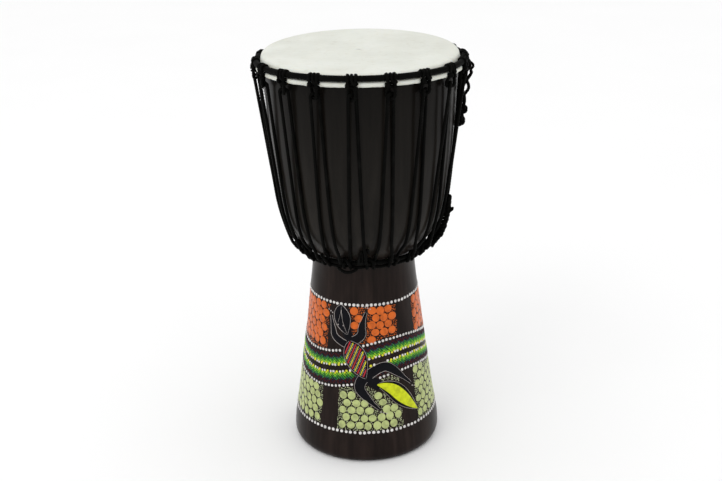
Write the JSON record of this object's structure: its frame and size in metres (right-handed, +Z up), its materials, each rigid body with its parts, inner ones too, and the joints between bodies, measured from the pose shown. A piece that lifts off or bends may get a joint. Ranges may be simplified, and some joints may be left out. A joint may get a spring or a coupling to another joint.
{
  "type": "djembe",
  "caption": "Rope-tuned goblet drum with a goat-skin head, painted wooden shell, three rings and laced tuning rope.",
  "frame": {"origin": "centre of the foot's rest plane, on the shell's axis", "axes": "+Z up along the shell's axis to the head; -Y is the front, where the painted lizard is; +X is the side where the rope tail hangs"},
  "size_m": [0.3154, 0.3118, 0.6011],
  "materials": {
    "wood": "gloss",
    "goatskin": "satin",
    "ring_metal": "satin",
    "ring_wrap": "satin",
    "rope": "matte"
  },
  "bodies": {
    "drum": {"shell": "wood", "drumhead": "goatskin", "flesh_ring": "ring_metal", "crown_ring": "ring_wrap", "base_ring": "ring_wrap", "crown_loop_01": "rope", "crown_loop_02": "rope", "crown_loop_03": "rope", "crown_loop_04": "rope", "crown_loop_05": "rope", "crown_loop_06": "rope", "crown_loop_07": "rope", "crown_loop_08": "rope", "crown_loop_09": "rope", "crown_loop_10": "rope", "crown_loop_11": "rope", "crown_loop_12": "rope", "crown_loop_13": "rope", "crown_loop_14": "rope", "crown_loop_15": "rope", "crown_loop_16": "rope", "crown_loop_17": "rope", "crown_loop_18": "rope", "lacing_01": "rope", "lacing_02": "rope", "lacing_03": "rope", "lacing_04": "rope", "lacing_05": "rope", "lacing_06": "rope", "lacing_07": "rope", "lacing_08": "rope", "lacing_09": "rope", "lacing_10": "rope", "lacing_11": "rope", "lacing_12": "rope", "lacing_13": "rope", "lacing_14": "rope", "lacing_15": "rope", "lacing_16": "rope", "lacing_17": "rope", "lacing_18": "rope", "base_loops": "rope", "tail_becket": "rope", "tail_wrap": "rope", "wrap_end": "rope", "front_end": "rope", "loose_end": "rope"},
    "tail": {"rope_tail": "rope", "tail_knot": "rope"}
  },
  "joints": [
    {"name": "tail_swing", "type": "hinge", "parent": "drum", "child": "tail", "pos_m": [0.15251, -0.01227, 0.577], "axis": [-0.0802, -0.9968, 0], "range_deg": [0, 110]}
  ]
}
